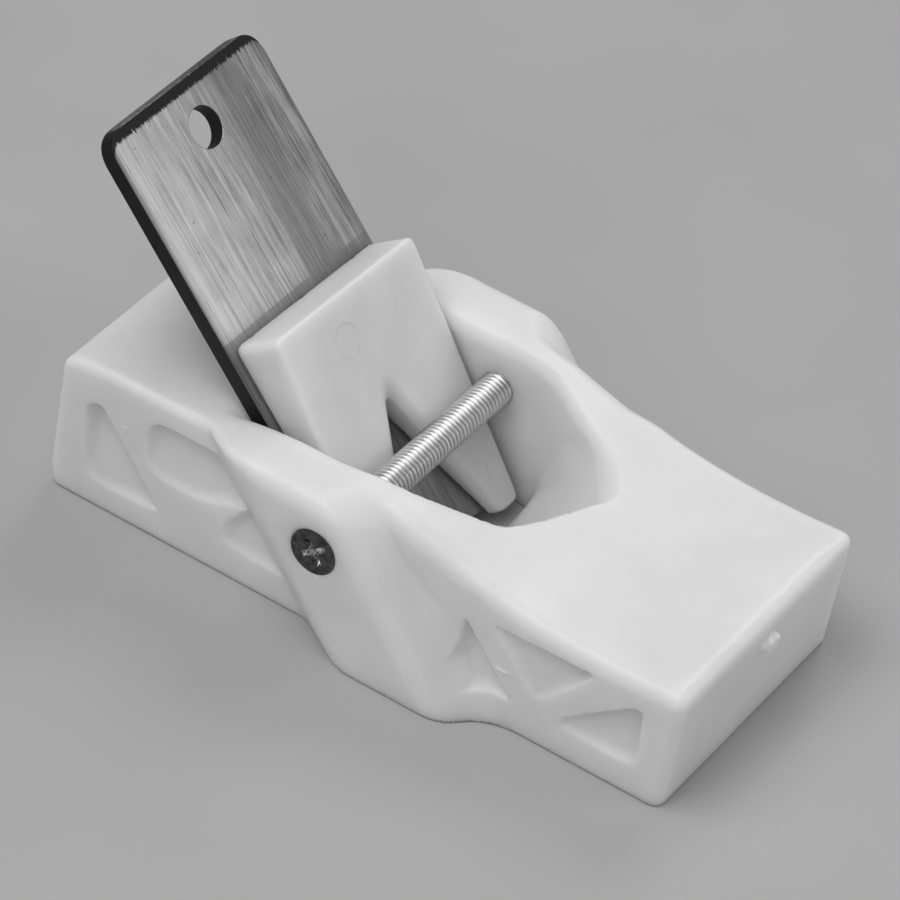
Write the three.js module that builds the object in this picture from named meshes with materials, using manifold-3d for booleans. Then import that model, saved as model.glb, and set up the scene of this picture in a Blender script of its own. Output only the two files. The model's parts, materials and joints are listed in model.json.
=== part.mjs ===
// Palm-sized hand plane for wood: a one-piece plastic stock, a steel blade lying on a sloping bed,
// a plastic wedge that locks the blade, and a machine screw across the throat that the wedge jams
// under, with its nut in the far cheek.
// Millimetres. +X runs to the nose, +Z is up, and the origin is on the sole, under the middle.

import * as THREE from 'three';
import { mergeVertices } from 'three/addons/utils/BufferGeometryUtils.js';
import Module from 'manifold-3d';

const wasm = await Module();
wasm.setup();

// ---- driving dimensions -------------------------------------------------------------------------

const rearX = -50.6;           // heel end of the sole
const noseX = 50;              // nose end of the sole
const rearRake = 2.5;          // degrees that the heel's end leans towards the nose
const noseRake = 3.3;          // degrees that the nose's end leans the same way
const stockHalf = 22;          // half the width of the sole
const bulgeHalf = 27.5;        // half the width across the grips
const gripLean = 0.80;         // how far the grips lean back, per unit of height

const bedAngle = 47.7;         // degrees between the bed and the sole
const footX = 2.9;             // where the blade's upper face would meet the sole
const throatHalf = 17.1;       // half the width of the throat
const mouthFrontX = 3.5;       // front edge of the mouth
const seatGap = 0.3;           // clearance left between faces that rest on each other

const bladeHalf = 16.8;
const bladeThick = 2.6;
const bladeEdge = 3.75;        // cutting edge, measured up the bed from the foot
const bladeTop = 77.7;
const bladeCorner = 4.2;
const bladeHole = { radius: 3.1, across: 0.2, up: 70.45 };
const bevelAngle = 28;

const wedgeHalf = 15.5;
const wedgeFlare = 1.0;        // how much farther the wedge's far side stands out at its top
const wedgeTip = 2.0;
const wedgeTop = 43.6;
const wedgeBase = 1.7;         // height of the wedge's upper face above the blade, at the foot
const wedgeSlope = 0.141;      // how fast that face climbs
const notchApex = 28.4;
const notchSlope = 0.375;
const notchOffset = 0.8;

const screwX = -3.9;
const screwZ = 17.8;
const screwRadius = 2.5;
const screwLength = 50;
const headRadius = 3.6;
const headRecess = 0.15;       // how far the head sits below the grip's face
const boreRadius = 2.65;
const nutThick = 4;
const nutFlats = 8;
const nutInnerY = 18.6;
const pocketFlats = 8.5;
const pocketDepth = 2.2;       // depth of the moulded pockets in the stock's sides, where deepest
const pocketShallow = 0.6;     // and where shallowest

const radians = Math.PI / 180;
const rearLean = Math.tan(rearRake * radians);
const noseLean = Math.tan(noseRake * radians);
const headY = -bulgeHalf + headRecess;

// ---- solids -------------------------------------------------------------------------------------

function toSolid(geometry) {
  geometry.deleteAttribute('normal');
  geometry.deleteAttribute('uv');
  const merged = mergeVertices(geometry, 1e-4);
  return new wasm.Manifold(new wasm.Mesh({
    numProp: 3,
    vertProperties: new Float32Array(merged.attributes.position.array),
    triVerts: new Uint32Array(merged.index.array),
  }));
}

function toGeometry(solid) {
  const mesh = solid.getMesh();
  const geometry = new THREE.BufferGeometry();
  geometry.setAttribute('position', new THREE.BufferAttribute(new Float32Array(mesh.vertProperties), 3));
  geometry.setIndex(new THREE.BufferAttribute(new Uint32Array(mesh.triVerts), 1));
  geometry.computeVertexNormals();
  return geometry;
}

// A closed outline whose corners are rounded by the third number of each point.
function roundedShape(corners) {
  const shape = new THREE.Shape();
  corners.forEach(([x, y, radius], i) => {
    const corner = new THREE.Vector2(x, y);
    const before = new THREE.Vector2(...corners[(i + corners.length - 1) % corners.length]);
    const after = new THREE.Vector2(...corners[(i + 1) % corners.length]);
    const start = corner.clone().add(before.sub(corner).setLength(radius));
    const end = corner.clone().add(after.sub(corner).setLength(radius));
    if (i === 0) shape.moveTo(start.x, start.y);
    else shape.lineTo(start.x, start.y);
    if (radius > 0) shape.quadraticCurveTo(x, y, end.x, end.y);
  });
  shape.closePath();
  return shape;
}

// A side outline (x along, y up) made solid across the width, its long edges rounded.
function acrossWidth(shape, halfWidth, edge, curveSegments = 5) {
  const geometry = new THREE.ExtrudeGeometry(shape, {
    depth: 2 * (halfWidth - edge),
    bevelEnabled: edge > 0,
    bevelSize: edge,
    bevelOffset: -edge,
    bevelThickness: edge,
    bevelSegments: 3,
    curveSegments,
  });
  geometry.translate(0, 0, edge - halfWidth);
  geometry.rotateX(Math.PI / 2);
  return toSolid(geometry);
}

function upright(shape, bottom, top, matrix = new THREE.Matrix4()) {
  const geometry = new THREE.ExtrudeGeometry(shape, {
    depth: top - bottom, bevelEnabled: false, curveSegments: 5,
  });
  geometry.translate(0, 0, bottom);
  geometry.applyMatrix4(matrix);
  return toSolid(geometry);
}

// A turned solid about the screw's axis: [radius, y] pairs from one end to the other.
function turnedAboutScrew(profile, sides) {
  const points = profile.map(([radius, y]) => new THREE.Vector2(radius, y));
  const geometry = new THREE.LatheGeometry(points, sides);
  geometry.translate(screwX, 0, screwZ);
  return toSolid(geometry);
}

function hexagonAboutScrew(flats, innerY, outerY) {
  const geometry = new THREE.CylinderGeometry(
    flats / Math.sqrt(3), flats / Math.sqrt(3), outerY - innerY, 6);
  geometry.rotateY(Math.PI / 6);
  geometry.translate(screwX, (innerY + outerY) / 2, screwZ);
  return toSolid(geometry);
}

// ---- stock --------------------------------------------------------------------------------------

// Height of the stock's top along its length, nose to heel: it sweeps down from the cheeks to a
// shallow saddle in front, and to the flat palm rest behind.
const noseTopZ = 20.1;
const heelTopZ = 22.9;
const frontSweep = [[42, 19.7], [33, 19.8], [24, 20.6], [16, 22.2], [10, 24.0], [5, 25.5], [0, 26.0]];
const backSweep = [[-14, 26.0], [-20, 25.4], [-26, 24.3], [-34, 24.0], [-43, 23.9]];

function stockOutline() {
  const shape = new THREE.Shape();
  const endRound = 1.9;
  const rearTopX = rearX + rearLean * heelTopZ;
  const noseTopX = noseX + noseLean * noseTopZ;
  shape.moveTo(rearX, 0);
  shape.lineTo(noseX, 0);
  shape.lineTo(noseTopX - noseLean * endRound, noseTopZ - endRound);
  shape.quadraticCurveTo(noseTopX, noseTopZ, noseTopX - endRound, noseTopZ);
  shape.splineThru(frontSweep.map(([x, z]) => new THREE.Vector2(x, z)));
  shape.splineThru(backSweep.map(([x, z]) => new THREE.Vector2(x, z)));
  shape.lineTo(rearTopX + endRound, heelTopZ);
  shape.quadraticCurveTo(rearTopX, heelTopZ, rearTopX - rearLean * endRound, heelTopZ - endRound);
  shape.closePath();
  return shape;
}

// Grips: a wider stretch on each side that leans back with the bed.
function grips() {
  const innerY = 19.5;
  const slopeRun = (stockHalf - innerY) / (bulgeHalf - stockHalf);
  const rearFoot = -6.4;
  const rearFlat = 2.2;
  const frontFlat = 18.3;
  const frontFoot = 23.9;
  const rearInner = rearFoot - slopeRun * (rearFlat - rearFoot);
  const frontInner = frontFoot + slopeRun * (frontFoot - frontFlat);
  const plan = roundedShape([
    [rearInner, innerY, 0], [rearInner, -innerY, 0],
    [rearFlat, -bulgeHalf, 1.0], [frontFlat, -bulgeHalf, 1.5],
    [frontInner, -innerY, 0], [frontInner, innerY, 0],
    [frontFlat, bulgeHalf, 1.5], [rearFlat, bulgeHalf, 1.0],
  ]);
  const lean = new THREE.Matrix4().makeShear(0, 0, 0, 0, -gripLean, 0);
  return upright(plan, -1, 30, lean);
}

// Pockets that core out the sides of the stock, between diagonal ribs: [x, z, corner radius]. The
// rear ones end against the grips, and the front ones cut into the grips' slope. Their floors
// slope, deepest towards the nose and the top.
const rearPockets = [
  [[-45.3, 17.0, 1.2], [-42.8, 18.0, 0.8], [-32.0, 4.8, 0.8], [-44.9, 4.0, 3.6]],
  [[-35.1, 20.1, 3.4], [-23.0, 20.1, 1.0], [-17.6, 13.2, 0.8], [-22.0, 12.2, 1.2],
    [-26.0, 10.6, 2.5], [-35.1, 10.8, 4.2]],
  [[-17.2, 14.6, 0.5], [-21.8, 8.6, 1.6], [-21.2, 5.4, 1.4], [-6.0, 5.2, 0.5]],
];
const frontPockets = [
  [[17.2, 15.2, 0.8], [26.0, 4.9, 0.8], [16.6, 4.4, 1.2]],
  [[21.6, 16.3, 0.5], [38.0, 16.8, 1.8], [29.4, 6.9, 1.6]],
  [[33.4, 6.8, 0.7], [45.4, 16.0, 2.8], [45.6, 5.0, 2.8], [33.4, 5.0, 0.7]],
];

function cutPockets(solid, outlines, outside) {
  const uphill = ([x, z]) => 0.6 * x + 0.8 * z;
  for (const outline of outlines) {
    const low = Math.min(...outline.map(uphill));
    const high = Math.max(...outline.map(uphill));
    for (const side of [1, -1]) {
      const geometry = new THREE.ExtrudeGeometry(roundedShape(outline), {
        depth: outside, bevelEnabled: false, curveSegments: 4,
      });
      geometry.rotateX(Math.PI / 2);
      if (side > 0) geometry.translate(0, outside, 0);
      const position = geometry.attributes.position;
      for (let i = 0; i < position.count; i += 1) {
        if (Math.abs(position.getY(i)) > 1) continue;
        const share = (uphill([position.getX(i), position.getZ(i)]) - low) / (high - low);
        const depth = pocketShallow + share * (pocketDepth - pocketShallow);
        position.setY(i, side * (stockHalf - depth));
      }
      solid = solid.subtract(toSolid(geometry));
    }
  }
  return solid;
}

// The throat: open from the bed to a ramp that climbs from the mouth's front edge and grows
// steeper towards the side walls, inside walls that close in towards a peak off the middle.
function bedX(z, offset) {
  const slope = Math.tan(bedAngle * radians);
  return footX + offset / Math.sin(bedAngle * radians) - z / slope;
}

function rampX(y, z) {
  const steepness = 1.13 + 0.0041 * (y - 2.5) ** 2 + 1.2e-5 * Math.max(y, 0) ** 4;
  return mouthFrontX + Math.max(z, 0) / steepness;
}

function throat() {
  const low = -2;
  const high = 32;
  const geometry = new THREE.BoxGeometry(1, 1, 1, 1, 16, 17);
  const position = geometry.attributes.position;
  for (let i = 0; i < position.count; i += 1) {
    const y = 2 * throatHalf * position.getY(i);
    const z = low + (high - low) * (position.getZ(i) + 0.5);
    const back = bedX(z, -bladeThick - seatGap);
    const front = rampX(y, z);
    position.setXYZ(i, back + (front - back) * (position.getX(i) + 0.5), y, z);
  }
  const plan = roundedShape([
    [-60, -throatHalf, 0], [4, -throatHalf, 3], [15.3, -11.7, 0.8],
    [22.9, 4.5, 1.4], [17.0, 11.2, 2.0], [4, throatHalf, 3], [-60, throatHalf, 0],
  ]);
  return toSolid(geometry).intersect(upright(plan, low - 1, high + 1));
}

function screwHole() {
  const sink = headRadius + 0.12;
  const chamfer = sink - boreRadius;
  const outerY = -bulgeHalf - 1;
  const bore = turnedAboutScrew([
    [0, outerY], [sink, outerY], [sink, headY - 0.05],
    [boreRadius, headY - 0.05 + chamfer], [boreRadius, bulgeHalf], [0, bulgeHalf],
  ], 28);
  return bore.add(hexagonAboutScrew(pocketFlats, nutInnerY - 0.2, bulgeHalf + 1));
}

// The stub left on the nose where the plastic entered the mould.
function gateStub() {
  const height = 15.2;
  const stub = new THREE.SphereGeometry(1.4, 14, 9);
  stub.translate(noseX + noseLean * height - 0.7, 0.6, height);
  return toSolid(stub);
}

function stockSolid() {
  const outline = stockOutline();
  const block = cutPockets(acrossWidth(outline, stockHalf, 1.0, 3), rearPockets, stockHalf + 2);
  const wide = acrossWidth(outline, bulgeHalf, 1.0, 3).intersect(grips());
  return cutPockets(block.add(wide), frontPockets, bulgeHalf + 1)
    .add(gateStub()).subtract(throat()).subtract(screwHole());
}

// ---- blade and wedge, in bed coordinates: x across, y up the bed, z off the blade's upper face ---

function bladeSolid() {
  const plan = roundedShape([
    [-bladeHalf, bladeEdge, 0], [bladeHalf, bladeEdge, 0],
    [bladeHalf, bladeTop, bladeCorner], [-bladeHalf, bladeTop, bladeCorner],
  ]);
  const hole = new THREE.Path();
  hole.absarc(bladeHole.across, bladeHole.up, bladeHole.radius, 0, 2 * Math.PI, true);
  plan.holes.push(hole);
  const plate = new THREE.ExtrudeGeometry(plan, {
    depth: bladeThick, bevelEnabled: false, curveSegments: 12,
  });
  plate.translate(0, 0, -bladeThick);
  const run = (bladeThick + 1) / Math.tan(bevelAngle * radians);
  const bevel = new THREE.Shape([
    new THREE.Vector2(bladeEdge - 1, 0.1),
    new THREE.Vector2(bladeEdge - 0.1, 0.1),
    new THREE.Vector2(bladeEdge, -0.1),
    new THREE.Vector2(bladeEdge + run, -bladeThick - 1.1),
    new THREE.Vector2(bladeEdge - 1, -bladeThick - 1.1),
  ]);
  const cutter = new THREE.ExtrudeGeometry(bevel, { depth: 2 * bladeHalf + 2, bevelEnabled: false });
  // The outline's (x, y, depth) become the bed's (y, z, x).
  cutter.applyMatrix4(new THREE.Matrix4().makeBasis(
    new THREE.Vector3(0, 1, 0), new THREE.Vector3(0, 0, 1), new THREE.Vector3(1, 0, 0)));
  cutter.translate(-bladeHalf - 1, 0, 0);
  return toSolid(plate).subtract(toSolid(cutter));
}

function wedgeSolid() {
  const height = (up) => wedgeBase + wedgeSlope * up;
  const side = roundedShape([
    [wedgeTip, seatGap, 0.2], [wedgeTop, seatGap, 0.3],
    [wedgeTop, height(wedgeTop), 0.8], [wedgeTip, height(wedgeTip), 0.5],
  ]);
  const wedge = new THREE.ExtrudeGeometry(side, {
    depth: 2 * wedgeHalf + wedgeFlare, bevelEnabled: false, curveSegments: 3,
  });
  wedge.applyMatrix4(new THREE.Matrix4().makeBasis(
    new THREE.Vector3(0, 1, 0), new THREE.Vector3(0, 0, 1), new THREE.Vector3(1, 0, 0)));
  wedge.translate(-wedgeHalf, 0, 0);
  const plan = upright(roundedShape([
    [-wedgeHalf, wedgeTip, 1.5], [wedgeHalf, wedgeTip, 1.5],
    [wedgeHalf + wedgeFlare, wedgeTop, 1.2], [-wedgeHalf, wedgeTop, 1.2],
  ]), -1, 14);
  const spread = notchSlope * (notchApex - wedgeTip + 2);
  const notch = upright(roundedShape([
    [notchOffset, notchApex, 1.0],
    [notchOffset - spread, wedgeTip - 2, 0], [notchOffset + spread, wedgeTip - 2, 0],
  ]), -1, 14);
  return toSolid(wedge).intersect(plan).subtract(notch);
}

// ---- screw and nut ------------------------------------------------------------------------------

function screwSolid() {
  const tipY = headY + screwLength;
  const tipChamfer = 0.6;
  const screw = turnedAboutScrew([
    [0, headY], [headRadius, headY], [screwRadius, headY + headRadius - screwRadius],
    [screwRadius, tipY - tipChamfer], [screwRadius - tipChamfer, tipY], [0, tipY],
  ], 28);
  // Cross recess: two tapering slots at right angles.
  const recess = [0, Math.PI / 2].map((turn) => {
    const slot = new THREE.CylinderGeometry(2.3, 1.2, 1.9, 4);
    slot.rotateY(Math.PI / 4);
    slot.scale(1, 1, 0.26);
    slot.rotateX(Math.PI);
    slot.rotateY(turn + Math.PI / 5);
    slot.translate(screwX, headY + 0.9, screwZ);
    return toSolid(slot);
  });
  return screw.subtract(recess[0].add(recess[1]));
}

function nutSolid() {
  const outerY = nutInnerY + nutThick;
  const corner = nutFlats / Math.sqrt(3);
  const chamfer = 0.45;
  const rounding = turnedAboutScrew([
    [0, nutInnerY], [corner - chamfer, nutInnerY], [corner + 0.05, nutInnerY + chamfer],
    [corner + 0.05, outerY - chamfer], [corner - chamfer, outerY], [0, outerY],
  ], 36);
  const hole = turnedAboutScrew([
    [0, nutInnerY - 1], [screwRadius + 0.1, nutInnerY - 1],
    [screwRadius + 0.1, outerY + 1], [0, outerY + 1],
  ], 28);
  return hexagonAboutScrew(nutFlats, nutInnerY, outerY).intersect(rounding).subtract(hole);
}

// ---- scene graph --------------------------------------------------------------------------------

const plastic = new THREE.MeshStandardMaterial({ color: 0xe6e6e2, roughness: 0.42, metalness: 0 });
const wedgePlastic = new THREE.MeshStandardMaterial({ color: 0xd9d9d5, roughness: 0.45, metalness: 0 });
const bladeSteel = new THREE.MeshStandardMaterial({ color: 0xa9a8a5, roughness: 0.32, metalness: 1 });
const zinc = new THREE.MeshStandardMaterial({ color: 0xcfcfcd, roughness: 0.25, metalness: 1 });
const nutSteel = new THREE.MeshStandardMaterial({ color: 0xbdbdbb, roughness: 0.3, metalness: 1 });

function named(name, solid, material) {
  const mesh = new THREE.Mesh(toGeometry(solid), material);
  mesh.name = name;
  return mesh;
}

const plane = new THREE.Group();
plane.add(named('stock', stockSolid(), plastic));
plane.add(named('cross_screw', screwSolid(), zinc));
plane.add(named('hex_nut', nutSolid(), nutSteel));

const bed = new THREE.Group();
const upBed = new THREE.Vector3(-Math.cos(bedAngle * radians), 0, Math.sin(bedAngle * radians));
const offBed = new THREE.Vector3(Math.sin(bedAngle * radians), 0, Math.cos(bedAngle * radians));
bed.setRotationFromMatrix(new THREE.Matrix4().makeBasis(new THREE.Vector3(0, 1, 0), upBed, offBed));
bed.position.set(footX, 0, 0);
bed.add(named('blade', bladeSolid(), bladeSteel));
bed.add(named('wedge', wedgeSolid(), wedgePlastic));
plane.add(bed);

export default plane;
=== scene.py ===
"""Looks for a palm-sized hand plane: a milky plastic stock with a sloping throat, a brushed steel
blade on its bed, a notched plastic wedge, and a threaded cross screw with its nut.

Shapes are written in millimetres in the CAD frame: +X towards the nose, +Z up from the sole. The
blade and the wedge are written in bed coordinates: across, up the bed, and off the blade's face.
Moulded and turned pieces are distance functions (negative inside) that are meshed on a grid.
"""

import json
import math

import bpy
import bmesh
import numpy as np
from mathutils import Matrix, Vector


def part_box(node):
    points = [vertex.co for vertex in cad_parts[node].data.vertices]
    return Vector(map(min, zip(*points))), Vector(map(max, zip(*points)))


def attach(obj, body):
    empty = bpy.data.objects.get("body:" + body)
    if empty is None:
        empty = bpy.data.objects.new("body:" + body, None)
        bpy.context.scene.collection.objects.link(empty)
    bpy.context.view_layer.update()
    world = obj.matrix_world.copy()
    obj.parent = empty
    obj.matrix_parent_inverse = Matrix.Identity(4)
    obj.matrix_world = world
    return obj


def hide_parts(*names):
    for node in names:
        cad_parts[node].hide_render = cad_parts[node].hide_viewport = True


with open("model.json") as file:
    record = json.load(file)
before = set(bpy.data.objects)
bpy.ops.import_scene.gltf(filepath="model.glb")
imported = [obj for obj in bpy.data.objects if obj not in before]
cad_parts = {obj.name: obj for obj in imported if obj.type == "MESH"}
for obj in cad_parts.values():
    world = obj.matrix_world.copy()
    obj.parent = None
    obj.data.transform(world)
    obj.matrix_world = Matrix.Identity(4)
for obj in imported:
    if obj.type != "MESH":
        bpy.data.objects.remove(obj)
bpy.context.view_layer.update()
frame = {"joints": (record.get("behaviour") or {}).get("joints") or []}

import openvdb
from mathutils import Matrix, Quaternion, Vector

MM = 0.001
joints = {joint["name"]: joint for joint in frame["joints"]}

# ---- where things are, from the frame -----------------------------------------------------------

stock_low, stock_high = (np.array(corner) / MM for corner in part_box("stock"))
screw_low, screw_high = (np.array(corner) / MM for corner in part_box("cross_screw"))
nut_low, nut_high = (np.array(corner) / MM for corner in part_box("hex_nut"))
blade_high = np.array(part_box("blade")[1]) / MM

up_bed = Vector(joints["blade_slide"]["axis"]).normalized()
off_bed = Vector((up_bed.z, 0, -up_bed.x))

# ---- driving dimensions, millimetres ------------------------------------------------------------

# Stock: half widths, then where its ends meet the sole and how far they lean out per unit of
# height, and the middle of the gate's stub on the nose.
STOCK_HALF = 22.0
GRIP_HALF = stock_high[1]
REAR_X = stock_low[0]
NOSE_X = 50.0
REAR_LEAN = math.tan(math.radians(2.5))
NOSE_LEAN = math.tan(math.radians(3.3))
GATE_Y, GATE_Z = 0.6, 15.2

# Throat. FOOT_X is where the plane of the blade's face meets the sole. The ramp in front of the
# mouth has its least steepness near RAMP_MIDDLE_Y, and turns steeper towards the side walls.
FOOT_X = 2.9
MOUTH_FRONT_X = 3.5
THROAT_HALF = 17.1
SEAT_GAP = 0.3
RAMP_STEEPNESS = 1.13
RAMP_MIDDLE_Y = 2.5
RAMP_TURN = 0.0041
RAMP_FAR_TURN = 1.2e-5

# Side pockets: depth at the two ends of their floors, and how their walls open outwards.
POCKET_DEPTH, POCKET_SHALLOW = 2.3, 0.35
POCKET_UPHILL = (0.5, 0.87)
POCKET_LEAN = (0.15, 0.26)
POCKET_DRAFT = 0.35

# Blade, in bed coordinates: the hole is (across, up, radius).
BLADE_HALF = blade_high[1]
BLADE_THICK = 2.6
BLADE_EDGE = 3.75
BLADE_TOP = 77.7
BLADE_CORNER = 4.2
BLADE_HOLE = (0.2, 70.45, 3.0)
BEVEL = math.radians(28)

# Wedge, in bed coordinates: its thickness grows by WEDGE_SLOPE up the bed, its far side flares,
# and its top end is neither square across nor square to the bed.
WEDGE_HALF = 15.45
WEDGE_FLARE = 0.024
WEDGE_LEAN = 0.03
WEDGE_TIP = 2.0
WEDGE_TOP = 43.85
WEDGE_TOP_TURN = 0.0256
WEDGE_TOP_LEAN = 0.11
WEDGE_BASE = 1.7
WEDGE_SLOPE = 0.141
NOTCH_APEX = 28.1
NOTCH_SLOPE = 0.378
NOTCH_OFFSET = 0.8
NOTCH_ARCH = 2.4

# Screw and nut. The recess is given as half the length and half the width of its arms, and its
# depth.
SCREW_X = (screw_low[0] + screw_high[0]) / 2
SCREW_Z = (screw_low[2] + screw_high[2]) / 2
HEAD_Y = screw_low[1]
TIP_Y = screw_high[1]
HEAD_RADIUS = (screw_high[0] - screw_low[0]) / 2
SCREW_RADIUS = 2.5
THREAD_PITCH = 0.8
THREAD_DEPTH = 0.4
HEAD_DEPTH = 1.5
HEAD_CLEARANCE = 0.15
RECESS_TURN = math.radians(36)
RECESS_LONG, RECESS_WIDE, RECESS_DEEP = 2.25, 0.5, 1.6
BORE_RADIUS = 2.5
NUT_FLATS = nut_high[2] - nut_low[2]
NUT_POCKET_FLATS = 8.5

# Turns radius plus height, on a cone of 45 degrees, into a distance from the cone.
DIAGONAL = math.sqrt(0.5)


# ---- distance functions -------------------------------------------------------------------------


def both(a, b, radius):
    """Inside a and inside b, with the edge where they meet rounded to this radius."""
    corner = np.hypot(np.maximum(a + radius, 0), np.maximum(b + radius, 0))
    return np.minimum(np.maximum(a, b), -radius) + corner


def either(a, b, radius):
    """Inside a or inside b, with a fillet of this radius where they meet."""
    return -both(-a, -b, radius)


def without(a, b, radius):
    """Inside a but outside b."""
    return both(a, -b, radius)


def ease(low, high, value):
    """0 below low, 1 above high, and smooth between."""
    t = np.clip((value - low) / (high - low), 0, 1)
    return t * t * (3 - 2 * t)


def rounded_outline(corners, steps=7):
    """Points round a closed outline of (x, y, radius) corners."""
    points = []
    for i, (x, y, radius) in enumerate(corners):
        corner = np.array((x, y))
        before = np.array(corners[i - 1][:2]) - corner
        after = np.array(corners[(i + 1) % len(corners)][:2]) - corner
        start = corner + before / np.linalg.norm(before) * radius
        end = corner + after / np.linalg.norm(after) * radius
        if radius == 0:
            points.append(corner)
            continue
        for t in np.linspace(0, 1, steps):
            points.append((1 - t) ** 2 * start + 2 * t * (1 - t) * corner + t * t * end)
    return np.array(points)


def outline_distance(points, x, y):
    """Signed distance to a closed outline, negative inside."""
    nearest = np.full(np.broadcast(x, y).shape, np.inf)
    inside = np.zeros(nearest.shape, dtype=bool)
    for (x0, y0), (x1, y1) in zip(points, np.roll(points, -1, axis=0)):
        dx, dy = x1 - x0, y1 - y0
        along = np.clip(((x - x0) * dx + (y - y0) * dy) / (dx * dx + dy * dy), 0, 1)
        nearest = np.minimum(nearest, np.hypot(x - x0 - along * dx, y - y0 - along * dy))
        if dy != 0:
            crosses = (y0 > y) != (y1 > y)
            inside ^= crosses & (x < x0 + (y - y0) / dy * dx)
    return np.where(inside, -nearest, nearest)


def curve_through(points):
    """A smooth curve through (x, height) points: a function that gives height and slope."""
    xs, heights = np.array(sorted(points)).T
    slopes = np.gradient(heights, xs)

    def curve(x):
        x = np.clip(x, xs[0], xs[-1])
        i = np.clip(np.searchsorted(xs, x) - 1, 0, len(xs) - 2)
        span = xs[i + 1] - xs[i]
        t = (x - xs[i]) / span
        rise = heights[i + 1] - heights[i]
        a = slopes[i] * span - rise
        b = -slopes[i + 1] * span + rise
        height = heights[i] + t * rise + t * (1 - t) * (a * (1 - t) + b * t)
        slope = (rise + (1 - 2 * t) * (a * (1 - t) + b * t) + t * (1 - t) * (b - a)) / span
        return height, slope

    return curve


def mesh_piece(name, distance, low, high, pitch, place=Matrix.Identity(4)):
    """Meshes a distance function over a box, settles its points on the surface and gives them
    the surface's own normals. place turns the piece's millimetres into the frame."""
    axes = [np.arange(a - 2 * pitch, b + 2 * pitch, pitch) for a, b in zip(low, high)]
    x, y, z = np.meshgrid(*axes, indexing="ij", sparse=True)
    values = np.broadcast_to(distance(x, y, z), [len(a) for a in axes])
    band = 3 * pitch
    grid = openvdb.FloatGrid(background=float(band))
    grid.copyFromArray(np.ascontiguousarray(np.clip(values, -band, band)))
    points, quads = grid.convertToQuads(isovalue=0.0)
    points = points.astype(float) * pitch + [a[0] for a in axes]

    def normals_at(p, step=0.01):
        shifts = step * np.eye(3)
        return np.stack(
            [distance(*(p + s).T) - distance(*(p - s).T) for s in shifts], axis=1
        ) / (2 * step)

    rounds, least_size, farthest = 3, 0.25, 0.7 * pitch
    for _ in range(rounds):
        slope = normals_at(points)
        size = np.maximum((slope**2).sum(axis=1), least_size)
        move = slope * (distance(*points.T) / size)[:, None]
        points -= np.clip(move, -farthest, farthest)
    normals = normals_at(points)
    normals /= np.maximum(np.linalg.norm(normals, axis=1), 1e-9)[:, None]

    mesh = bpy.data.meshes.new(name)
    mesh.from_pydata(points * MM, [], quads[:, ::-1].tolist())
    mesh.update()
    first = mesh.polygons[0]
    if Vector(normals[first.vertices[0]]).dot(first.normal) < 0:
        mesh.flip_normals()
    mesh.shade_smooth()
    mesh.normals_split_custom_set_from_vertices(normals)
    piece = bpy.data.objects.new(name, mesh)
    bpy.context.scene.collection.objects.link(piece)
    piece.matrix_world = place
    return piece


# ---- stock --------------------------------------------------------------------------------------

# Height of the top from heel to nose: palm rest, cheeks, then the sweep down to the saddle.
stock_top = curve_through([
    (-50, 22.7), (-48, 23.3), (-43, 24.0), (-34, 24.1), (-26, 24.5), (-20, 25.6), (-14, 26.3),
    (-7, 26.4), (0, 26.3), (5, 25.8), (10, 24.3), (16, 22.5), (24, 20.7), (33, 19.8), (42, 19.7),
    (51, 20.2),
])

# The grips' slanted ends: where the foot and the flat start on the sole, and how far each leans
# back per unit of height.
GRIP_REAR = ((-6.4, 0.80), (2.2, 0.80))
GRIP_FRONT = ((23.9, 0.85), (18.3, 0.80))

# Cored pockets between diagonal ribs, as (x, z, corner radius).
SIDE_POCKETS = [
    rounded_outline(corners)
    for corners in (
        [(-45.3, 17.0, 1.2), (-42.8, 18.0, 0.8), (-32.0, 4.8, 0.8), (-44.9, 4.0, 3.6)],
        [(-35.1, 20.1, 3.4), (-23.0, 20.1, 1.0), (-17.6, 13.2, 0.8), (-22.0, 12.2, 1.2),
         (-26.0, 10.6, 2.5), (-35.1, 10.8, 4.2)],
        [(-17.2, 14.6, 0.5), (-21.8, 8.6, 1.6), (-21.2, 5.4, 1.4), (-6.0, 5.2, 0.5)],
        [(17.2, 15.2, 0.8), (26.0, 4.9, 0.8), (16.6, 4.4, 1.2)],
        [(21.6, 16.3, 0.5), (38.0, 16.8, 1.8), (29.4, 6.9, 1.6)],
        [(33.4, 6.8, 0.7), (45.4, 16.0, 2.8), (45.6, 5.0, 2.8), (33.4, 5.0, 0.7)],
    )
]
# Specks of flash on the near side: where, and half their size along x, y and z.
FLASH_SPECKS = (
    ((24.0, -22.0, 9.4), (1.2, 0.35, 0.32)), ((29.7, -19.9, 9.0), (0.4, 0.35, 0.3)),
    ((33.7, -19.9, 11.1), (0.45, 0.4, 0.3)), ((-38.6, -22.0, 16.2), (0.35, 0.2, 0.3)),
)
THROAT_PLAN = rounded_outline([
    (-60, -THROAT_HALF, 0), (4, -THROAT_HALF, 3.0), (16.2, -10.9, 0.5), (22.3, 4.8, 1.6),
    (17.0, 11.2, 2.0), (4, THROAT_HALF, 3.0), (-60, THROAT_HALF, 0),
])


def grip_slopes(x, y, z):
    """Distances to the slanted faces that start and end the grips, behind and in front."""
    rise = GRIP_HALF - STOCK_HALF
    distances = []
    for (foot, foot_lean), (flat, flat_lean) in (GRIP_REAR, GRIP_FRONT):
        way = math.copysign(1, foot - flat)
        run = way * (foot - flat - (foot_lean - flat_lean) * z)
        size = np.sqrt(rise**2 * (1 + foot_lean**2) + run**2)
        height = (x + foot_lean * z - foot) * way * rise + (np.abs(y) - STOCK_HALF) * run
        distances.append(height / size)
    return distances


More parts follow.
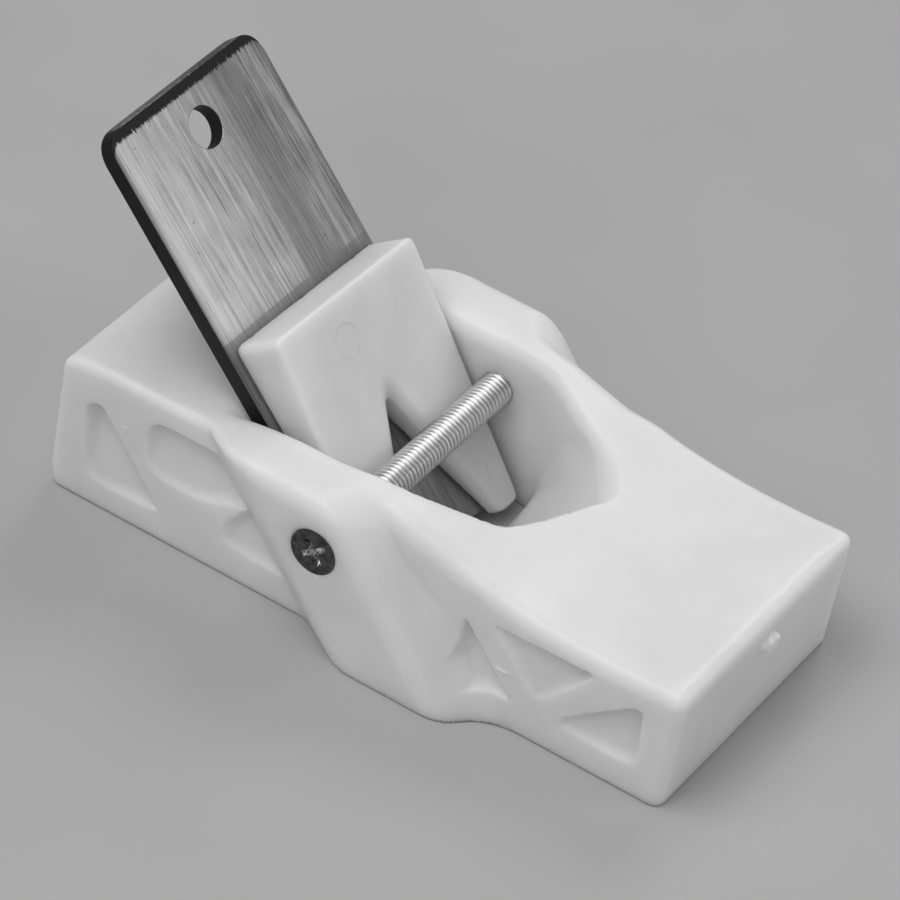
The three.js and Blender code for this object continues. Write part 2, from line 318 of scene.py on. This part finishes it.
def throat_distance(x, y, z):
    """The open throat: in front of the bed, behind the ramp and between the cheeks."""
    off = (x - FOOT_X) * off_bed.x + z * off_bed.z
    bed = -(off + BLADE_THICK + SEAT_GAP)
    # The ramp rises from the mouth's front edge. turn is its slope along y.
    ahead, aside, far = x - MOUTH_FRONT_X, y - RAMP_MIDDLE_Y, np.maximum(y, 0)
    steepness = RAMP_STEEPNESS + RAMP_TURN * aside**2 + RAMP_FAR_TURN * far**4
    turn = ahead * (2 * RAMP_TURN * aside + 4 * RAMP_FAR_TURN * far**3)
    ramp = (ahead * steepness - z) / np.sqrt(steepness**2 + turn**2 + 1)
    walls = outline_distance(THROAT_PLAN, x, y)
    corner = 0.3 + 2.0 * ease(2, 9, z) * (1 - 0.8 * ease(14, 20, z))
    return both(both(walls, ramp, corner), bed, 0.15)


def screw_hole_distance(x, y, z):
    """The bore through both cheeks, the countersink for the head and the pocket for the nut."""
    across, height = x - SCREW_X, z - SCREW_Z
    radius = np.hypot(across, height)
    sink = HEAD_RADIUS + HEAD_CLEARANCE
    seat = HEAD_Y - 0.05 + sink - BORE_RADIUS
    cone = (radius - BORE_RADIUS - (seat - y)) * DIAGONAL
    countersink = np.maximum(np.maximum(cone, radius - sink), y - seat)
    flats = [height * math.cos(a) + across * math.sin(a) for a in np.radians((0, 60, 120))]
    hexagon = np.max([np.abs(f) for f in flats], axis=0) - NUT_POCKET_FLATS / 2
    nut_pocket = both(hexagon, nut_low[1] - 0.2 - y, 0.1)
    return np.minimum(np.minimum(radius - BORE_RADIUS, countersink), nut_pocket)


def gate_distance(x, y, z):
    """The torn stub where the plastic entered the mould, with a smaller lobe beside it."""
    stub_radius, lobe_radius, soft = 1.55, 0.85, 0.4
    aside, above = y - GATE_Y, z - GATE_Z
    out = x - NOSE_X - NOSE_LEAN * z
    ragged = 0.18 * np.sin(2.3 * y + 1.7 * z) * np.cos(2.9 * z - 1.3 * y)
    pin = np.hypot(aside, above) - stub_radius + ragged
    stub = both(pin, np.abs(out + 0.5) - stub_radius + 1.2 * ragged, soft)
    lobe = np.hypot(np.hypot(aside + 1.8, above - 0.3), out) - lobe_radius
    return either(stub, lobe, soft)


def bump_distance(x, y, z):
    """Specks of flash left on the near side."""
    specks = []
    for at, half in FLASH_SPECKS:
        terms = [((value - middle) / size) ** 2 for value, middle, size in zip((x, y, z), at, half)]
        specks.append((np.sqrt(sum(terms)) - 1) * min(half))
    return np.min(specks, axis=0)


def pocket_distance(x, depth, z):
    """The side pockets. Their floors slope, deepest towards the nose and the top."""
    pockets = []
    up_x, up_z = POCKET_UPHILL
    lean_x, lean_z = POCKET_LEAN
    for outline in SIDE_POCKETS:
        uphill = outline @ POCKET_UPHILL
        share = (up_x * x + up_z * z - uphill.min()) / np.ptp(uphill)
        floor = POCKET_SHALLOW + (POCKET_DEPTH - POCKET_SHALLOW) * np.clip(share, 0, 1)
        # The walls lean the same way, so those behind and below are the gentle ones.
        walls = outline_distance(outline, x - lean_x * depth, z - lean_z * depth)
        walls = (walls + POCKET_DRAFT * depth) / math.hypot(1, POCKET_DRAFT)
        pockets.append(both(walls, depth - floor, 1.0))
    return np.min(pockets, axis=0)


def stock_sides(x, y, z):
    """Both sides with their grips, and the pockets between the grips and the ends."""
    width = np.abs(y)
    behind, ahead = grip_slopes(x, y, z)
    rear_corner = 1.0 + 2.0 * ease(15, 26, z)
    grip = both(both(width - GRIP_HALF, behind, rear_corner), ahead, 1.5)
    foot_fillet = 0.4 + 1.8 * ease(8, 20, x + z) * (1 - ease(12, 19, z))
    sides = either(width - STOCK_HALF, grip, foot_fillet)
    under_grip = both(behind, ahead, 2.5)
    pockets = without(pocket_distance(x, STOCK_HALF - width, z), under_grip, 0.4)
    return without(sides, pockets, 0.2)


def stock_distance(x, y, z):
    """The whole stock. Its top edge is rounder at the cheeks, the nose and the near front."""
    rear = REAR_X + REAR_LEAN * z - x
    nose = (x - NOSE_X - NOSE_LEAN * z) / math.hypot(1, NOSE_LEAN)
    height, slope = stock_top(x)
    crown = 0.25 * (y / STOCK_HALF) ** 2 * ease(10, 40, x)
    top = (z - height + crown) / np.sqrt(1 + slope**2)

    heel_corner = 0.8 + 1.2 * (1 - ease(0, 4, z))
    block = both(both(rear, stock_sides(x, y, z), heel_corner), nose, 1.8)
    cheeks = ease(-20, -12, x) * (1 - ease(14, 20, x))
    nose_end = ease(45, 50, x) * (1 - ease(13, 21, np.abs(y)))
    near_front = ease(14, 22, x) * (1 - ease(-12, -6, y))
    top_edge = 1.4 + 1.6 * cheeks + 0.9 * np.maximum(nose_end, near_front)
    block = both(block, top, top_edge)
    block = both(block, -z, 0.35)
    block = either(block, gate_distance(x, y, z), 0.25)
    block = either(block, bump_distance(x, y, z), 0.2)

    # The throat's rim: broadly rounded, but crisp along the near side in front of the screw.
    far = ease(1, 8, y)
    rim = 0.25 + ease(6, 14, z) * (2.5 * far + 2.2 * (1 - far) * (1 - ease(-8, 3, x)))
    block = without(block, throat_distance(x, y, z), rim)
    return without(block, screw_hole_distance(x, y, z), 0.08)


# ---- wedge, in bed coordinates ------------------------------------------------------------------


def wedge_distance(across, up, off):
    """A tapering wedge with a notch cut up from its tip: a V that ends in a round arch. The
    notch's edge on the face is broadly rounded."""
    face = (off - WEDGE_BASE - WEDGE_SLOPE * up) / math.hypot(1, WEDGE_SLOPE)
    aside = across - WEDGE_LEAN * off
    sides = np.maximum(-aside - WEDGE_HALF, aside - WEDGE_HALF - WEDGE_FLARE * (up - WEDGE_TIP))
    top_end = up - WEDGE_TOP + WEDGE_TOP_TURN * across + WEDGE_TOP_LEAN * off
    ends = both(top_end, WEDGE_TIP - up, 0.1)
    body = both(both(sides, ends, 1.2), face, 0.5)
    beside = across - NOTCH_OFFSET
    flanks = [
        (way * beside - NOTCH_SLOPE * (NOTCH_APEX - up)) / math.hypot(1, NOTCH_SLOPE)
        for way in (1, -1)
    ]
    notch = both(*flanks, NOTCH_ARCH)
    notch_edge = 0.15 + 1.7 * ease(-2.4, -0.8, face)
    body = without(body, notch, notch_edge)
    return both(body, SEAT_GAP - off, 0.15)


# ---- screw and nut ------------------------------------------------------------------------------


def recess_distance(across, depth, height):
    """Cross recess in the head, tapering with depth."""
    u = across * math.cos(RECESS_TURN) + height * math.sin(RECESS_TURN)
    v = height * math.cos(RECESS_TURN) - across * math.sin(RECESS_TURN)
    arms = []
    for along, beside in ((u, v), (v, u)):
        length = np.abs(along) - RECESS_LONG + 0.55 * depth
        width = np.abs(beside) - RECESS_WIDE + 0.12 * depth
        arms.append(both(length, width, 0.12))
    cross = either(*arms, 0.35)
    return both(cross, depth - RECESS_DEEP, 0.2)


def head_distance(x, y, z):
    """The countersunk head with its cross recess."""
    across, height = x - SCREW_X, z - SCREW_Z
    radius = np.hypot(across, height)
    depth = y - HEAD_Y
    head = both(radius - HEAD_RADIUS, -depth, 0.15)
    head = both(head, (radius - HEAD_RADIUS - 0.15 + depth) * DIAGONAL, 0.12)
    head = both(head, depth - HEAD_DEPTH, 0.1)
    return without(head, recess_distance(across, depth, height), 0.08)


def threaded_rod():
    """The screw's rod with a right-handed thread: rows of points follow the crests round it."""
    into_head, run_in, tip_chamfer = 0.5, 1.2, 0.6
    start, end = HEAD_Y + HEAD_DEPTH - into_head, TIP_Y
    around, per_pitch = 44, 12
    rows = per_pitch * (math.ceil((end - start) / THREAD_PITCH) + 2)
    row, step = np.meshgrid(np.arange(rows + 1), np.arange(around), indexing="ij")
    angle = 2 * math.pi * step / around
    y = start + THREAD_PITCH * (row / per_pitch - 1 + step / around)
    y = np.clip(y, start, end)
    flank = np.interp(row / per_pitch % 1, (0.08, 0.42, 0.58, 0.92), (0, 1, 1, 0))
    radius = SCREW_RADIUS - 0.01 - THREAD_DEPTH * flank * ease(start, start + run_in, y)
    radius = np.minimum(radius, SCREW_RADIUS - tip_chamfer + end - y)
    points = np.stack(
        [SCREW_X + radius * np.sin(angle), y, SCREW_Z + radius * np.cos(angle)], axis=-1
    )
    faces = []
    for i in range(rows - per_pitch):
        for j in range(around):
            k, seam = (j + 1) % around, per_pitch if j + 1 == around else 0
            loop = ((i, j), (i + seam, k), (i + seam + 1, k), (i + 1, j))
            faces.append([r * around + c for r, c in loop])
    build = bmesh.new()
    corners = [build.verts.new(Vector(p) * MM) for p in points.reshape(-1, 3)]
    for face in faces:
        build.faces.new([corners[i] for i in face])
    bmesh.ops.remove_doubles(build, verts=build.verts, dist=1e-7)
    loose = [v for v in build.verts if not v.link_faces]
    bmesh.ops.delete(build, geom=loose, context="VERTS")
    bmesh.ops.holes_fill(build, edges=build.edges, sides=0)
    bmesh.ops.recalc_face_normals(build, faces=build.faces)
    return build


def screw_piece():
    """The countersunk head, meshed finely, joined to the threaded rod."""
    low = (SCREW_X - HEAD_RADIUS, HEAD_Y, SCREW_Z - HEAD_RADIUS)
    high = (SCREW_X + HEAD_RADIUS, HEAD_Y + HEAD_DEPTH, SCREW_Z + HEAD_RADIUS)
    piece = mesh_piece("machine_screw", head_distance, low, high, 0.09)
    build = threaded_rod()
    rod = bpy.data.meshes.new("rod")
    build.to_mesh(rod)
    build.free()
    rod.shade_smooth()
    other = bpy.data.objects.new("rod", rod)
    bpy.context.scene.collection.objects.link(other)
    with bpy.context.temp_override(
        active_object=piece, object=piece, selected_editable_objects=[piece, other]
    ):
        bpy.ops.object.join()
    return piece


def nut_distance(x, y, z):
    """A hexagonal nut, chamfered at its corners and countersunk at both ends of its hole."""
    across, height = x - SCREW_X, z - SCREW_Z
    radius = np.hypot(across, height)
    flats = [height * math.cos(a) + across * math.sin(a) for a in np.radians((0, 60, 120))]
    hexagon = np.max([np.abs(f) for f in flats], axis=0) - NUT_FLATS / 2
    nut = both(hexagon, nut_low[1] - y, 0.1)
    nut = both(nut, y - nut_high[1], 0.1)
    corner = NUT_FLATS / math.sqrt(3)
    hole = radius - SCREW_RADIUS - 0.1
    for outward in (y - nut_high[1], nut_low[1] - y):
        nut = np.maximum(nut, (radius - corner + 0.3 + 1.7 * (outward + 0.25)) / 2)
        countersink = (radius - SCREW_RADIUS - 0.5 - outward) * DIAGONAL
        hole = np.minimum(hole, countersink)
    return without(nut, hole, 0.05)


# ---- blade --------------------------------------------------------------------------------------


def inset(points, amount):
    """Moves a loop of points to its left, which is inwards for an outline."""
    before = points - np.roll(points, 1, axis=0)
    after = np.roll(points, -1, axis=0) - points
    turns = []
    for side in (before, after):
        side = side / np.linalg.norm(side, axis=1)[:, None]
        turns.append(np.stack([-side[:, 1], side[:, 0]], axis=1))
    middle = turns[0] + turns[1]
    middle /= (middle * turns[0]).sum(axis=1)[:, None]
    return points + amount * middle


def blade_rings():
    """The blade's points, ring by ring from its face to its back: first the rings of the
    outline, then those of the hole. Gives the points, the rings and how many each one has."""
    outline = rounded_outline([
        (-BLADE_HALF, BLADE_EDGE, 0), (BLADE_HALF, BLADE_EDGE, 0),
        (BLADE_HALF, BLADE_TOP, BLADE_CORNER), (-BLADE_HALF, BLADE_TOP, BLADE_CORNER),
    ], steps=17)
    angles = np.linspace(0, 2 * math.pi, 72, endpoint=False)
    across, up, radius = BLADE_HOLE
    hole = np.stack([across + radius * np.cos(angles), up + radius * np.sin(angles)], axis=1)

    broken, land = 0.2, 0.05
    steps = [(broken * (1 - math.sin(a)), -broken * (1 - math.cos(a)))
             for a in np.linspace(0, math.pi / 2, 5)]
    steps += [(i, -BLADE_THICK - t) for i, t in reversed(steps)]
    verts, rings = [], []
    for loop, way in ((outline, 1), (hole, -1)):
        for amount, off in steps:
            ring = inset(loop, way * amount)
            if way > 0:
                # The bevel carries the lower end farther up the bed, the nearer the back it is.
                ground = BLADE_EDGE + land + max(0.0, -off - broken) / math.tan(BEVEL)
                ring[:, 1] = np.where(loop[:, 1] <= BLADE_EDGE, ground, ring[:, 1])
            first = len(verts)
            verts += [(p[0], p[1], off) for p in ring]
            rings.append(list(range(first, first + len(ring))))
    return verts, rings, len(steps)


def blade_piece(place):
    """Flat blade in bed coordinates: rounded top corners, hanging hole, small broken edges all
    round, and a bevel ground on the side that lies on the bed."""
    verts, rings, count = blade_rings()
    build = bmesh.new()
    points = [build.verts.new(Vector(v) * MM) for v in verts]
    for group in (rings[:count], rings[count:]):
        for upper, lower in zip(group, group[1:]):
            size = len(upper)
            for i in range(size):
                j = (i + 1) % size
                build.faces.new([points[k] for k in (upper[i], lower[i], lower[j], upper[j])])
    for outer, inner in ((rings[0], rings[count]), (rings[count - 1], rings[-1])):
        edges = []
        for ring in (outer, inner):
            for i, j in zip(ring, ring[1:] + ring[:1]):
                edges.append(build.edges.get((points[i], points[j])))
        bmesh.ops.triangle_fill(build, use_beauty=True, edges=edges)
    bmesh.ops.recalc_face_normals(build, faces=build.faces)
    mesh = bpy.data.meshes.new("steel_blade")
    build.to_mesh(mesh)
    build.free()
    mesh.shade_smooth()
    piece = bpy.data.objects.new("steel_blade", mesh)
    bpy.context.scene.collection.objects.link(piece)
    weighted = piece.modifiers.new("flat faces stay flat", "WEIGHTED_NORMAL")
    weighted.keep_sharp = True
    piece.matrix_world = place
    return piece


# ---- materials ----------------------------------------------------------------------------------


class Nodes:
    """A node material with short ways to add its nodes. Places are in millimetres."""

    def __init__(self, name):
        self.material = bpy.data.materials.new(name)
        self.material.use_nodes = True
        self.tree = self.material.node_tree
        self.shader = self.tree.nodes["Principled BSDF"]
        scale = self.add("ShaderNodeVectorMath", operation="SCALE")
        coordinates = self.add("ShaderNodeTexCoord")
        self.link(coordinates.outputs["Object"], scale.inputs[0])
        scale.inputs["Scale"].default_value = 1 / MM
        self.place = scale.outputs[0]

    def add(self, kind, **settings):
        node = self.tree.nodes.new(kind)
        for key, value in settings.items():
            setattr(node, key, value)
        return node

    def link(self, source, target):
        self.tree.links.new(source, target)

    def put(self, value, socket):
        if isinstance(value, bpy.types.NodeSocket):
            self.link(value, socket)
        else:
            socket.default_value = value

    def math(self, operation, a, b=0.0, c=None):
        node = self.add("ShaderNodeMath", operation=operation)
        self.put(a, node.inputs[0])
        self.put(b, node.inputs[1])
        if c is not None:
            self.put(c, node.inputs[2])
        return node.outputs[0]

    def weighted(self, *terms):
        """The sum of the values, each times its weight."""
        total = 0.0
        for value, weight in terms:
            total = self.math("MULTIPLY_ADD", value, weight, total)
        return total

    def distance_from(self, a, middle_a, b, middle_b):
        """Distance in the plane of a and b from the point where they have these values."""
        off_a = self.math("SUBTRACT", a, middle_a)
        off_b = self.math("SUBTRACT", b, middle_b)
        squares = self.math("MULTIPLY_ADD", off_a, off_a, self.math("MULTIPLY", off_b, off_b))
        return self.math("SQRT", squares)

    def stretch(self, scales, shift=(0, 0, 0)):
        node = self.add("ShaderNodeMapping")
        self.link(self.place, node.inputs["Vector"])
        node.inputs["Scale"].default_value = scales
        node.inputs["Location"].default_value = shift
        return node.outputs[0]

    def noise(self, scale, detail, rough, place=None):
        node = self.add("ShaderNodeTexNoise")
        self.link(place or self.place, node.inputs["Vector"])
        node.inputs["Scale"].default_value = scale
        node.inputs["Detail"].default_value = detail
        node.inputs["Roughness"].default_value = rough
        return node.outputs["Fac"]

    def ramp(self, value, stops, mode="LINEAR"):
        node = self.add("ShaderNodeValToRGB")
        self.link(value, node.inputs["Fac"])
        node.color_ramp.interpolation = mode
        while len(node.color_ramp.elements) < len(stops):
            node.color_ramp.elements.new(1.0)
        for element, (at, shade) in zip(node.color_ramp.elements, stops):
            element.position = at
            element.color = shade if isinstance(shade, tuple) else (shade, shade, shade, 1)
        return node.outputs["Color"]

    def mix(self, share, a, b):
        node = self.add("ShaderNodeMix", data_type="RGBA")
        self.put(share, node.inputs["Factor"])
        self.put(a, node.inputs["A"])
        self.put(b, node.inputs["B"])
        return node.outputs["Result"]

    def parts(self):
        node = self.add("ShaderNodeSeparateXYZ")
        self.link(self.place, node.inputs[0])
        return node.outputs

    def bump(self, height, strength, distance, below=None):
        node = self.add("ShaderNodeBump")
        node.inputs["Strength"].default_value = strength
        node.inputs["Distance"].default_value = distance * MM
        self.link(height, node.inputs["Height"])
        if below is not None:
            self.link(below, node.inputs["Normal"])
        return node.outputs["Normal"]

    def set(self, **values):
        for key, value in values.items():
            self.put(value, self.shader.inputs[key.replace("_", " ")])


def grey(value):
    return (value, value, value, 1)


def add_ejector_rings(m, marks, colour, normal):
    """Faint, patchy rings (x, y, radius), in the piece's own plane, where ejector pins pushed."""
    x, y, _ = m.parts()
    patchy = m.ramp(m.noise(0.45, 2, 0.5), [(0.40, 0.15), (0.58, 1.0)])
    for at_x, at_y, radius in marks:
        off_ring = m.math("SUBTRACT", m.distance_from(x, at_x, y, at_y), radius)
        ring = m.ramp(m.math("ABSOLUTE", off_ring), [(0.0, 1.0), (0.25, 0.0)], "EASE")
        ring = m.math("MULTIPLY", ring, patchy)
        colour = m.mix(m.math("MULTIPLY", ring, 0.22), colour, grey(0.42))
        normal = m.bump(ring, 0.4, 0.10, normal)
    return colour, normal


def plastic(name, light, dark, marks=()):
    """Milky polypropylene: light soaks in, faint flow clouds, fine grain, specks and scuffs.
    marks are the rings that ejector pins leave."""
    m = Nodes(name)
    clouds = m.noise(0.07, 3, 0.55)
    colour = m.ramp(clouds, [(0.3, grey(dark)), (0.7, grey(light))])
    specks = m.ramp(m.noise(1.6, 2, 0.6), [(0.765, 0.0), (0.80, 1.0)])
    colour = m.mix(m.math("MULTIPLY", specks, 0.35), colour, grey(0.38))
    fine = m.noise(4.5, 4, 0.6)
    broad = m.noise(0.16, 2, 0.5)
    scuffs = m.noise(0.9, 5, 0.7, m.stretch((1.0, 3.2, 2.2)))
    scuffs = m.ramp(scuffs, [(0.60, 0.0), (0.72, 1.0)])
    rough = m.math("MULTIPLY_ADD", fine, 0.10, 0.36)
    rough = m.math("MULTIPLY_ADD", scuffs, 0.12, rough)
    normal = m.bump(broad, 0.35, 0.6)
    normal = m.bump(fine, 0.10, 0.08, normal)
    normal = m.bump(scuffs, 0.25, 0.02, normal)
    if marks:
        colour, normal = add_ejector_rings(m, marks, colour, normal)
    m.set(Base_Color=colour, Roughness=rough, Normal=normal)
    m.set(Subsurface_Weight=0.95, Subsurface_Scale=5.0 * MM, IOR=1.49)
    m.shader.inputs["Subsurface Radius"].default_value = (1, 1, 1)
    return m.material


def blade_oxide(m, x, y, z):
    """Where black oxide is left: a ragged band along the top of the face, the sides and the
    back. The top end is scraped half bright, and the bevel is ground."""
    band, skin = 1.9, 0.12
    ragged = m.noise(1.0, 4, 0.65, m.stretch((2.6, 0.5, 1.0)))
    side_gap = m.math("SUBTRACT", BLADE_HALF, m.math("ABSOLUTE", x))
    rounding = m.math("MAXIMUM", m.math("SUBTRACT", 1.3, side_gap), 0.0)
    gap = m.math("DIVIDE", m.math("SUBTRACT", BLADE_TOP, y), band)
    gap = m.math("ADD", gap, m.math("MULTIPLY_ADD", ragged, 1.2, -0.6))
    gap = m.math("SUBTRACT", gap, m.math("MULTIPLY", rounding, 0.5))
    oxide = m.ramp(gap, [(0.80, 1.0), (1.0, 0.0)], "EASE")
    oxide = m.math("MAXIMUM", oxide, m.math("LESS_THAN", z, -skin))
    end = m.math("GREATER_THAN", y, BLADE_TOP - skin)
    end = m.math("MULTIPLY", end, m.ramp(ragged, [(0.35, 0.15), (0.65, 0.60)]))
    oxide = m.math("SUBTRACT", oxide, end)
    off_bevel = m.math("MULTIPLY_ADD", m.math("SUBTRACT", y, BLADE_EDGE), math.tan(BEVEL), z)
    return m.math("MULTIPLY", oxide, m.math("GREATER_THAN", off_bevel, 0.1))


def steel_blade_material():
    """Steel ground lengthwise, in hair lines, with black oxide round it and a few pits."""
    m = Nodes("blade_steel")
    x, y, z = m.parts()
    hair = m.noise(1.0, 4, 0.75, m.stretch((9.0, 0.16, 1.0)))
    fine = m.noise(1.0, 4, 0.65, m.stretch((3.2, 0.07, 1.0), (1, 5, 0)))
    coarse = m.noise(1.0, 2, 0.5, m.stretch((0.8, 0.02, 1.0), (3, 1, 0)))
    cloud = m.noise(0.16, 3, 0.6)
    # Painted sheen: the tone is painted lighter towards -x, across the face.
    shade = m.weighted((hair, 0.30), (fine, 0.40), (coarse, 0.20), (cloud, 0.10), (x, -0.004))
    colour = m.ramp(shade, [(0.38, grey(0.15)), (0.47, grey(0.34)), (0.60, grey(0.60))])
    # A broad dull streak right of the middle, and a painted shadow of the wedge in a strip just
    # above the wedge's end.
    wander = m.math("MULTIPLY_ADD", coarse, 5.0, 4.2)
    streak = m.math("ABSOLUTE", m.math("SUBTRACT", x, wander))
    streak = m.ramp(m.math("DIVIDE", streak, 6.0), [(0.20, 0.60), (1.0, 0.0)], "EASE")
    painted_wedge_shadow = m.math("DIVIDE", m.math("SUBTRACT", y, WEDGE_TOP - 0.25), 4.0)
    painted_wedge_shadow = m.ramp(painted_wedge_shadow, [(0.0, 0.60), (0.40, 0.50), (0.45, 0.0)])
    colour = m.mix(m.math("MAXIMUM", streak, painted_wedge_shadow), colour, grey(0.17))
    # The face is duller along its sides, where the grinding faded out.
    side = m.math("SUBTRACT", BLADE_HALF, m.math("ABSOLUTE", x))
    side = m.math("ADD", side, m.math("MULTIPLY_ADD", fine, 0.8, -0.4))
    side = m.ramp(m.math("DIVIDE", side, 1.2), [(0.1, 0.75), (0.9, 0.0)], "EASE")
    colour = m.mix(side, colour, grey(0.16))
    oxide = blade_oxide(m, x, y, z)
    colour = m.mix(oxide, colour, grey(0.028))
    pits = m.ramp(m.noise(1.1, 2, 0.5), [(0.73, 0.0), (0.76, 1.0)])
    colour = m.mix(m.math("MULTIPLY", pits, 0.7), colour, grey(0.05))
    rough = m.math("MULTIPLY_ADD", fine, 0.20, 0.30)
    rough = m.math("MULTIPLY_ADD", oxide, 0.15, rough)
    normal = m.bump(hair, 0.30, 0.02)
    normal = m.bump(coarse, 0.15, 0.10, normal)
    m.set(Base_Color=colour, Roughness=rough, Normal=normal, Metallic=0.9, IOR=1.5)
    return m.material


def zinc_material(name, light, dark, head=None):
    """Bright zinc plate, a little dull in patches. On a screw, whose head starts at head along y,
    the head's face is painted nearly black as a painted dark reflection, its recess gets painted
    glints, and its thread turns darker towards the roots."""
    m = Nodes(name)
    patches = m.noise(0.9, 4, 0.6)
    colour = m.ramp(patches, [(0.3, grey(dark)), (0.7, grey(light))])
    rough = m.math("MULTIPLY_ADD", patches, 0.12, 0.24)
    if head is not None:
        x, y, z = m.parts()
        # The thread's colour turns darker towards its roots.
        sunk = m.math("SUBTRACT", SCREW_RADIUS, m.distance_from(x, SCREW_X, z, SCREW_Z))
        root_darkening = m.ramp(m.math("DIVIDE", sunk, THREAD_DEPTH), [(0.35, 0.0), (0.85, 0.55)])
        colour = m.mix(root_darkening, colour, grey(0.10))
        # How far down the head: its face is painted dark, a painted reflection, and below that the
        # recess gets painted glints.
        depth = m.math("DIVIDE", m.math("SUBTRACT", y, head), 2.0)
        painted_dark_reflection = m.ramp(depth, [(0.0, 1.0), (0.05, 1.0), (0.15, 0.0)])
        painted_glint_zone = m.ramp(depth, [(0.08, 0.0), (0.15, 1.0), (0.70, 1.0), (0.75, 0.0)])
        # Painted glints: bright patches in the recess stand in for highlights.
        glints = m.ramp(m.noise(1.3, 3, 0.6), [(0.42, 0.0), (0.56, 1.0)])
        colour = m.mix(painted_glint_zone, colour, m.mix(glints, grey(0.14), grey(0.95)))
        rough = m.math("MULTIPLY_ADD", painted_glint_zone, 0.14, rough)
        # The nearly black colour of the painted dark reflection on the head's face.
        black = m.ramp(m.noise(1.3, 4, 0.7), [(0.35, grey(0.05)), (0.65, grey(0.15))])
        colour = m.mix(painted_dark_reflection, colour, black)
        rough = m.math("MULTIPLY_ADD", painted_dark_reflection, 0.10, rough)
    m.set(Base_Color=colour, Roughness=rough, Metallic=1.0)
    m.set(Normal=m.bump(m.noise(5.0, 3, 0.6), 0.10, 0.01))
    return m.material


def floor_material():
    """Plain pale grey with a very faint, broad unevenness."""
    m = Nodes("floor")
    colour = m.ramp(m.noise(0.02, 2, 0.5), [(0.3, 0.39), (0.7, 0.42)])
    m.set(Base_Color=colour, Roughness=0.8)
    return m.material


# ---- pieces on their bodies ---------------------------------------------------------------------

# Turns bed coordinates into the frame.
bed_place = Matrix((
    (0, up_bed.x, off_bed.x, FOOT_X * MM),
    (1, 0, 0, 0),
    (0, up_bed.z, off_bed.z, 0),
    (0, 0, 0, 1),
))


def add_piece(piece, node, material):
    """Gives a piece its material, and puts it in the place of the CAD body."""
    piece.data.materials.append(material)
    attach(piece, node)
    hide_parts(node)


# The gate's stub stands out of the stock's box, so the stock is meshed over a little more.
stock = mesh_piece("moulded_stock", stock_distance, stock_low - 0.5, stock_high + 0.5, pitch=0.4)
add_piece(stock, "stock", plastic("stock_plastic", 0.75, 0.70))

wedge_marks = [(13.6, 7.8, 1.9), (-12.6, 7.9, 1.9), (-2.9, 36.8, 2.4)]
wedge_low = (-WEDGE_HALF - 0.4, WEDGE_TIP - 0.5, 0)
wedge_high = (WEDGE_HALF + 1.7, WEDGE_TOP + 0.95, 8.4)
wedge = mesh_piece("moulded_wedge", wedge_distance, wedge_low, wedge_high, 0.3, bed_place)
add_piece(wedge, "wedge", plastic("wedge_plastic", 0.69, 0.64, wedge_marks))

add_piece(blade_piece(bed_place), "blade", steel_blade_material())

add_piece(screw_piece(), "cross_screw", zinc_material("screw_zinc", 0.86, 0.68, HEAD_Y))

nut = mesh_piece("hexagon_nut", nut_distance, nut_low, nut_high, pitch=0.14)
add_piece(nut, "hex_nut", zinc_material("nut_zinc", 0.74, 0.55))


# ---- floor, light and camera --------------------------------------------------------------------


def add_floor():
    """A square floor of 6 m, a hair below the sole."""
    mesh = bpy.data.meshes.new("floor")
    half, below = 3.0, 0.02 * MM
    corners = [(-half, -half), (half, -half), (half, half), (-half, half)]
    mesh.from_pydata([(x, y, -below) for x, y in corners], [], [(0, 1, 2, 3)])
    floor = bpy.data.objects.new("floor", mesh)
    floor.data.materials.append(floor_material())
    bpy.context.scene.collection.objects.link(floor)


def add_light(name, place, size, power):
    """A square softbox that faces the plane."""
    light = bpy.data.lights.new(name, "AREA")
    light.shape = "SQUARE"
    light.size = size
    light.energy = power
    lamp = bpy.data.objects.new(name, light)
    bpy.context.scene.collection.objects.link(lamp)
    lamp.location = place
    lamp.rotation_mode = "QUATERNION"
    aim = Vector((0, 0, 0.02))
    lamp.rotation_quaternion = (aim - Vector(place)).to_track_quat("-Z", "Y")


def add_camera():
    """A long lens from the near side, above the nose, tilted a little."""
    azimuth, elevation, roll = (math.radians(a) for a in (28.64, 40.46, 8.08))
    data = bpy.data.cameras.new("camera")
    data.sensor_width = 36
    data.lens = 221.64
    data.clip_start = 0.05
    camera = bpy.data.objects.new("camera", data)
    bpy.context.scene.collection.objects.link(camera)
    back = Vector((
        math.sin(azimuth) * math.cos(elevation),
        -math.cos(azimuth) * math.cos(elevation),
        math.sin(elevation),
    ))
    camera.location = Vector((273.13, -500.95, 506.58)) * MM
    camera.rotation_mode = "QUATERNION"
    level = (-back).to_track_quat("-Z", "Y")
    camera.rotation_quaternion = level @ Quaternion((0, 0, 1), roll)
    bpy.context.scene.camera = camera


def add_world(brightness):
    """Even white light from all round, as in a bright room."""
    world = bpy.data.worlds.new("studio")
    world.use_nodes = True
    background = world.node_tree.nodes["Background"]
    background.inputs["Color"].default_value = (1, 1, 1, 1)
    background.inputs["Strength"].default_value = brightness
    bpy.context.scene.world = world


add_floor()
add_light("overhead", (-0.25, -0.30, 0.92), 0.6, 4.3)
add_light("behind", (-0.07, 0.67, 0.76), 0.4, 2.0)
add_light("in front", (0.10, -0.78, 0.64), 0.8, 2.4)
add_light("beside", (0.80, 0.40, 0.35), 0.5, 1.8)
add_world(0.27)
add_camera()
bpy.context.scene.view_settings.view_transform = "Standard"
